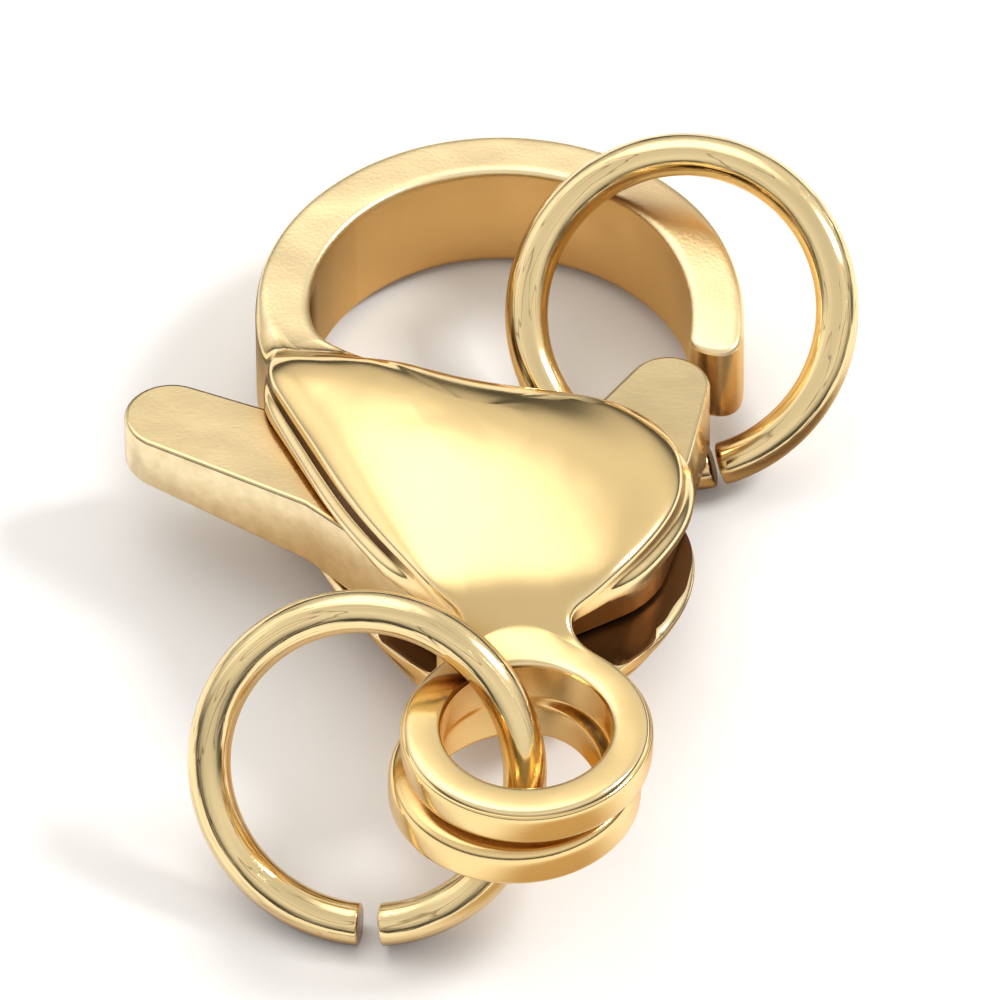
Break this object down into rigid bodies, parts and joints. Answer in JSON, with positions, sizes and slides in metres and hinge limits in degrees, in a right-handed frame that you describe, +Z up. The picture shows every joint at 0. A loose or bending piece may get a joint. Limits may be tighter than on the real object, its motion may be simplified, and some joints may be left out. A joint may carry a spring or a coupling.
{
  "type": "lobster clasp",
  "caption": "Lobster claw clasp with a sprung thumb lever, a grooved tail eye and an open jump ring linked through each end.",
  "frame": {"origin": "on the surface the clasp lies on, under the middle of the box of all pieces", "axes": "+Y from the tail eye to the hook, +X towards the gate, +Z up from the surface"},
  "size_m": [0.0102, 0.0132, 0.004],
  "materials": {
    "cast_gold": "polished gold plating over stainless steel",
    "lever_gold": "polished gold plating over stainless steel",
    "pin_gold": "plain gold plated pin",
    "wire_gold": "polished gold plated round wire"
  },
  "bodies": {
    "frame_body": {"frame": "cast_gold", "pivot_pin": "pin_gold", "tail_jump_ring": "wire_gold", "hook_jump_ring": "wire_gold"},
    "lever_body": {"lever": "lever_gold"}
  },
  "joints": [
    {"name": "lever_hinge", "type": "hinge", "parent": "frame_body", "child": "lever_body", "pos_m": [0.00104, -0.00046, 0.00184], "axis": [0, 0.1378, 0.9905], "range_deg": [0, 20], "stiffness_Nm_per_rad": 0.01, "springref_deg": -17.19}
  ]
}
